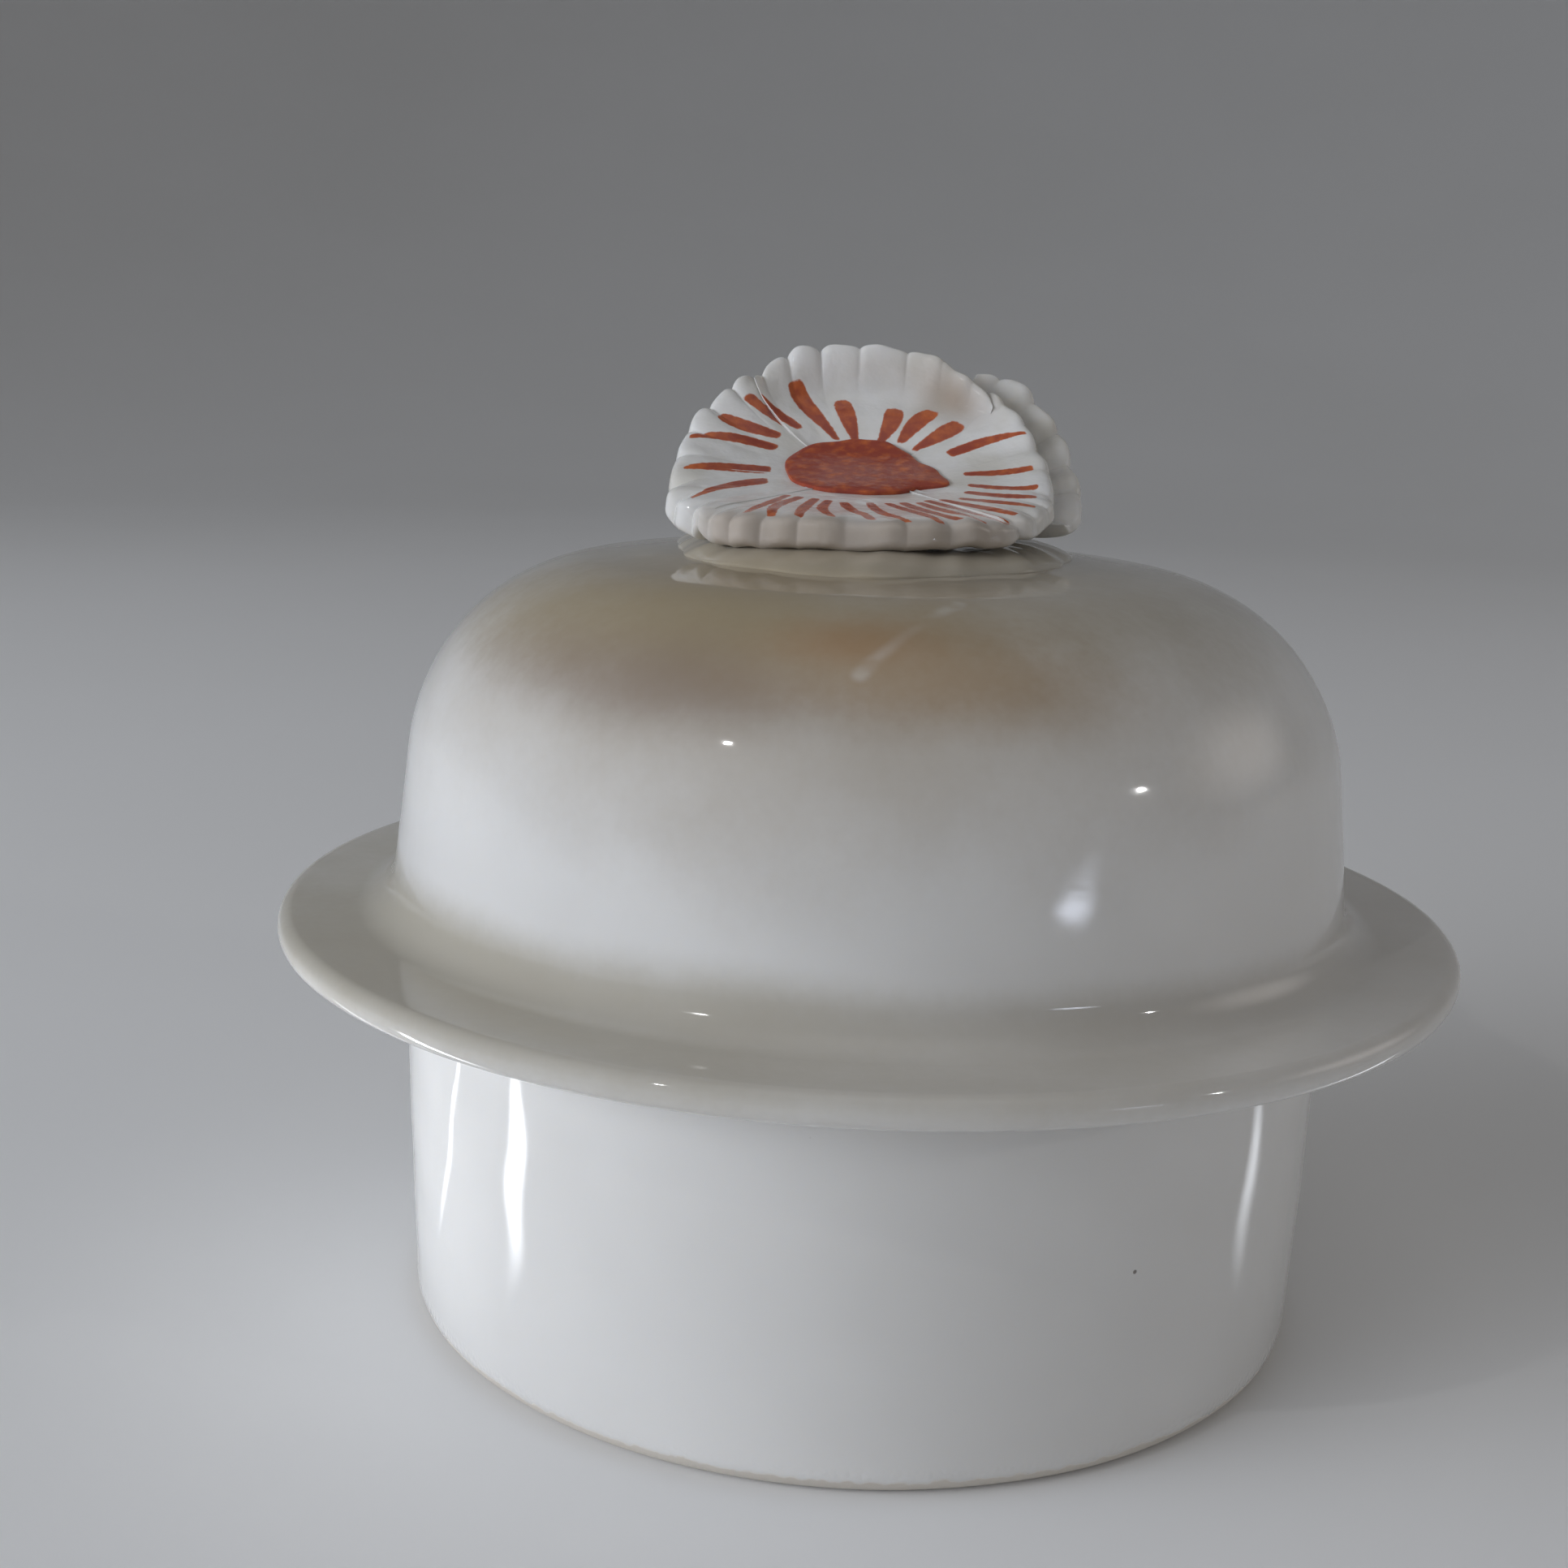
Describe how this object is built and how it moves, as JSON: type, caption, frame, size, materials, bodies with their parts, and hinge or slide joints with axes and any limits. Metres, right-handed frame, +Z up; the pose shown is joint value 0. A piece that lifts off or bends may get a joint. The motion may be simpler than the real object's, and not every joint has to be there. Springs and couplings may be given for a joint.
{
  "type": "lidded cream jar",
  "caption": "Round glazed porcelain cream jar with a lift-off bell lid, a wide overhanging brim and a crimped flower finial painted iron red.",
  "frame": {"origin": "centre of the foot, on the surface that the jar stands on", "axes": "+Z up along the jar's axis; the flower on the lid faces -Y; +X to its right as seen from the front"},
  "size_m": [0.08, 0.08, 0.0657],
  "materials": {
    "white_glaze": "glossy clear glaze over white porcelain, with a bare matt foot ring",
    "flower_glaze": "glossy slightly translucent glaze over crimped porcelain",
    "iron_red_enamel": "brushed iron-red enamel over glaze"
  },
  "bodies": {
    "jar": {"jar_body": "white_glaze"},
    "lid": {"lid_shell": "white_glaze", "lid_collar": "white_glaze", "finial_pad": "flower_glaze", "flower_core": "flower_glaze", "flower_centre": "iron_red_enamel", "petal_front": "flower_glaze", "petal_right": "flower_glaze", "petal_back": "flower_glaze", "petal_left": "flower_glaze", "petal_outer": "flower_glaze"}
  },
  "joints": [
    {"name": "lid_lift", "type": "slide", "parent": "jar", "child": "lid", "axis": [0, 0, 1], "range_m": [0, 0.045]}
  ]
}
